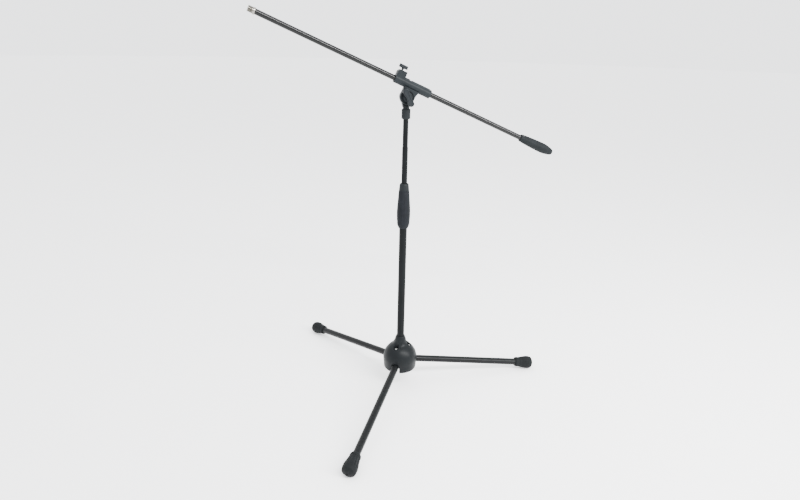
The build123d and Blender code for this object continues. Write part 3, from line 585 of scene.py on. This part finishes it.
def make_clamp_parts():
    """Clamp screw with its thread, and the cross handle moulded on it."""
    low, high = 11.2, 37.0
    screw_r, pitch, depth = 2.38, 0.8, 0.4
    profile = [(0, low), (1.8, low), (screw_r, low + 0.6)]
    profile += [(screw_r, low + 0.6 + 0.1 * k) for k in range(1, 181)]
    profile += [(screw_r, high - 0.1), (2.0, high), (0, high)]
    mesh = lathe(bmesh.new(), profile, 48, thread(pitch, depth, low + 0.6, low + 18.5))
    piece("clamp_screw_thread", mesh, CLAMP, "clamp_screw", CASTING,
          replaces=["clamp_screw"])

    def inside(x, y, inset):
        half = 12.5 - inset
        width = 5.25 - inset
        end = half - width
        waist = 0.55 * (1 - min(1.0, abs(x) / 9.0) ** 2) - 0.25
        if abs(x) < end:
            return abs(y) < width - max(0.0, waist)
        return (abs(x) - end) ** 2 + y * y < width * width

    def outline(turn, inset):
        far = reach(lambda x, y: inside(x, y, inset), turn, 14)
        return far * cos(turn), far * sin(turn)

    layers = [(31.0, 2.0), (31.15, 1.0), (31.7, 0.35), (32.6, 0.02), (34.2, 0.02), (35.4, 0.25), (37.0, 0.25)]
    layers += [(38.2, 0.05), (39.0, 0.3), (39.7, 0.9), (40.1, 1.7), (40.18, 2.4), (39.7, 2.9), (39.7, 3.6)]
    mesh = stack(bmesh.new(), outline, layers, 96, bore=(2.46, 37.1))
    piece("cross_handle", mesh, CLAMP, "clamp_screw", KNOB_PLASTIC, replaces=["clamp_handle"])
    profile = soften([
        (2.46, 27.85), (2.8, 27.8, 0.15), (3.08, 28.1, 0.2), (3.08, 31.2), (2.46, 31.2), (2.46, 27.85),
    ])
    mesh = lathe(bmesh.new(), profile[:-1], 48)
    piece("cross_handle_neck", mesh, CLAMP, "clamp_screw", KNOB_PLASTIC)


def make_wing_knob():
    """Tilt knob: a ribbed collar behind a waisted bar with dished wings."""
    profile = soften([
        (5.86, 14.2), (11.8, 14.12, 0.4), (12.35, 14.7, 0.4), (12.35, 20.4, 0.3), (11.6, 21.0, 0.3),
        (5.86, 21.0), (5.86, 14.2),
    ])

    rib_count, rib_depth, rim_r = 30, 0.5, 11.5

    def ribs(turn, z, radius):
        if radius <= rim_r:
            return radius
        return radius - rib_depth * (0.5 - 0.5 * cos(rib_count * turn)) ** 2

    mesh = lathe(bmesh.new(), finer(profile, 0.8)[:-1], 240, ribs)
    piece("wing_knob_collar", mesh, KNOB, "tilt_knob", KNOB_PLASTIC)

    def inside(x, y, inset):
        half = 26.0 - inset
        width = 8.75 - inset
        end = half - width
        if abs(x) >= end:
            return (abs(x) - end) ** 2 + y * y < width * width
        waist = 76.95 - sqrt(max(0.0, (70.0 + inset) ** 2 - x * x))
        return abs(y) < min(width, waist)

    def outline(turn, inset):
        far = reach(lambda x, y: inside(x, y, inset), turn, 30)
        return far * cos(turn), far * sin(turn)

    layers = [(16.65, 0.9), (16.8, 0.35), (17.4, 0.08), (20.0, 0.27), (24.0, 0.55), (28.0, 0.84), (29.3, 1.1)]
    layers += [(30.2, 1.6), (30.75, 2.3), (30.95, 3.1), (30.8, 3.7), (30.2, 4.1), (29.9, 4.8), (29.85, 5.6)]
    mesh = stack(bmesh.new(), outline, layers, 128, bore=(5.86, 27.25))
    piece("wing_knob_bar", mesh, KNOB, "tilt_knob", KNOB_PLASTIC, replaces=["tilt_knob"])


def between(p, q, r, w, t):
    """Catmull-Rom value at t between q and r."""
    rise = r - p
    bend = 2 * p - 5 * q + 4 * r - w
    twist = 3 * q - p - 3 * r + w
    return 0.5 * (2 * q + rise * t + bend * t ** 2 + twist * t ** 3)


def make_hub_rib(number):
    """Moulded rib that runs from the mast collar down the dome beside a leg."""
    steps = 6
    # Distance from the mast's axis, bearing in degrees, height and radius of the rib.
    stops = [(18.0, 46, 155.3, 0.5), (18.9, 38, 151.6, 1.3), (20.2, 30, 147.7, 1.6), (22.3, 24.5, 144.1, 1.7)]
    stops += [(25.5, 22, 140.6, 1.6), (29.0, 21.5, 138.3, 1.3), (32.5, 22.5, 135.9, 0.8)]
    stops += [(35.0, 24, 134.0, 0.25)]
    points, radii = [], []
    for i in range(len(stops) - 1):
        before, a, b, after = (stops[max(0, min(len(stops) - 1, i + k))] for k in (-1, 0, 1, 2))
        for step in range(steps):
            rho, turn, height, radius = (between(*four, step / steps) for four in zip(before, a, b, after))
            angle = radians(turn + 120 * (number - 1))
            points.append(Vector((rho * cos(angle), rho * sin(angle), height)))
            radii.append(max(0.2, radius))
    mesh = sweep(bmesh.new(), points, radii, 20)
    piece(f"hub_rib_{number}", mesh, MAST, "stand", HUB_PLASTIC, sharp=60)


for number in (1, 2, 3):
    make_foot(number)
    make_hub_rib(number)
make_boom_grip()
make_clutch_grip()
make_adapter()
make_clamp_parts()
make_wing_knob()

SOFT_EDGES = {"hub_dome": 0.5, "swivel_base": 0.5, "boom_holder": 0.5, "clutch_nut": 0.3}
for name, width in SOFT_EDGES.items():
    weld = nodes[name].modifiers.new("joined", "WELD")
    weld.merge_threshold = 0.00001
    bevel = nodes[name].modifiers.new("soft edges", "BEVEL")
    bevel.width = width * MM
    bevel.segments = 3
    bevel.limit_method = "ANGLE"
    bevel.angle_limit = radians(32)
    bevel.harden_normals = True


# ---------------------------------------------------------------- stage, light and camera

FLOOR_RADIUS_M = 25
CAMERA_LENS = 26.1
CAMERA_SPOT_M = (-0.39508, -1.54431, 1.04510)
CAMERA_RIGHT = Vector((0.97167759, -0.23529223, 0.02191433))
CAMERA_UP = Vector((0.06221281, 0.34417236, 0.93684308))
CAMERA_FORWARD = Vector((0.2279742, 0.90894607, -0.34906276))
STUDIO_TINT = (0.97, 0.98, 1.0, 1)
STUDIO_STRENGTH = 2.9


def make_stage():
    """A wide, plain, pale floor."""
    mesh = bmesh.new()
    bmesh.ops.create_circle(mesh, cap_ends=True, segments=128, radius=FLOOR_RADIUS_M)
    data = bpy.data.meshes.new("floor")
    mesh.to_mesh(data)
    mesh.free()
    floor = bpy.data.objects.new("floor", data)
    bpy.context.scene.collection.objects.link(floor)
    m = Material("floor paper", Specular_IOR_Level=0.1, Roughness=0.9, Emission_Strength=0.35)
    paper = m.mix(m.noise(3, 3), (0.93, 0.93, 0.93), (0.95, 0.95, 0.948))
    floor.data.materials.append(m.set(Base_Color=paper, Emission_Color=paper))


def make_light(name, spot, aim, length, width, power, along=(1, 0, 0)):
    """A soft rectangular light facing aim, with its long side along a direction."""
    data = bpy.data.lights.new(name, "AREA")
    data.energy = power
    data.shape = "RECTANGLE"
    data.size = length
    data.size_y = width
    light = bpy.data.objects.new(name, data)
    bpy.context.scene.collection.objects.link(light)
    back = (Vector(spot) - Vector(aim)).normalized()
    side = Vector(along)
    side = (side - back * side.dot(back)).normalized()
    turn = Matrix((side, back.cross(side), back)).transposed().to_4x4()
    light.matrix_world = Matrix.Translation(Vector(spot)) @ turn


def make_camera():
    """The photograph's camera, as fitted to the legs, the mast and the feet."""
    data = bpy.data.cameras.new("camera")
    data.sensor_width = 36.0
    data.lens = CAMERA_LENS
    data.clip_start = 0.05
    data.clip_end = 60.0
    camera = bpy.data.objects.new("camera", data)
    bpy.context.scene.collection.objects.link(camera)
    turn = Matrix((CAMERA_RIGHT, CAMERA_UP, -CAMERA_FORWARD)).transposed().to_4x4()
    camera.matrix_world = Matrix.Translation(CAMERA_SPOT_M) @ turn
    bpy.context.scene.camera = camera


make_stage()
make_light("strip", (1.136, -1.734, 1.90), (0.595, 0, 0.66), 2.8, 0.28, 200, boom_dir)
make_light("overhead", (-0.6, 0.3, 4.2), (0, 0, 0), 4.0, 4.0, 60)
world = bpy.data.worlds.new("studio")
bpy.context.scene.world = world
world.use_nodes = True
background = world.node_tree.nodes["Background"]
background.inputs["Color"].default_value = STUDIO_TINT
background.inputs["Strength"].default_value = STUDIO_STRENGTH
make_camera()
